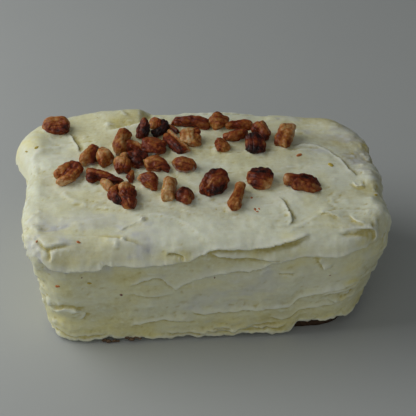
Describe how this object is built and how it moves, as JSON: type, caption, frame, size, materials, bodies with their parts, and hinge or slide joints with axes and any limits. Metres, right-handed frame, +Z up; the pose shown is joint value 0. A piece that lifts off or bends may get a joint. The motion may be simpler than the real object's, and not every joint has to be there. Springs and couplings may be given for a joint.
{
  "type": "carrot cake loaf",
  "caption": "Small carrot cake loaf, fully coated in knife-spread pale cream icing, with chopped roasted pecans scattered over its flat top.",
  "frame": {"origin": "on the underside, below the middle of the loaf's plan", "axes": "+Z up, +X along the loaf, front long side towards -Y"},
  "size_m": [0.1317, 0.0819, 0.054],
  "materials": {
    "sponge": "moist open crumb, fully matte",
    "icing": "pale ivory cream-cheese icing, soft satin with knife marks",
    "pecan_dark": "dark roasted nut skin, slight oily sheen",
    "pecan_red": "reddish-brown nut skin, slight oily sheen",
    "pecan_caramel": "caramel-brown roasted nut, slight oily sheen",
    "pecan_pale": "pale broken nut flesh with thin brown skin"
  },
  "bodies": {
    "root": {"sponge": "sponge", "icing": "icing", "pecan_01": "pecan_caramel", "pecan_02": "pecan_red", "pecan_03": "pecan_caramel", "pecan_04": "pecan_caramel", "pecan_05": "pecan_caramel", "pecan_06": "pecan_red", "pecan_07": "pecan_pale", "pecan_08": "pecan_red", "pecan_09": "pecan_caramel", "pecan_10": "pecan_caramel", "pecan_11": "pecan_red", "pecan_12": "pecan_dark", "pecan_13": "pecan_dark", "pecan_14": "pecan_red", "pecan_15": "pecan_dark", "pecan_16": "pecan_red", "pecan_17": "pecan_red", "pecan_18": "pecan_pale", "pecan_19": "pecan_dark", "pecan_20": "pecan_caramel", "pecan_21": "pecan_red", "pecan_22": "pecan_red", "pecan_23": "pecan_pale", "pecan_24": "pecan_caramel", "pecan_25": "pecan_dark", "pecan_26": "pecan_pale", "pecan_27": "pecan_caramel", "pecan_28": "pecan_caramel", "pecan_29": "pecan_caramel", "pecan_30": "pecan_pale", "pecan_31": "pecan_pale", "pecan_32": "pecan_dark", "pecan_33": "pecan_dark", "pecan_34": "pecan_caramel", "pecan_35": "pecan_red", "pecan_36": "pecan_dark", "pecan_37": "pecan_dark"}
  },
  "joints": []
}
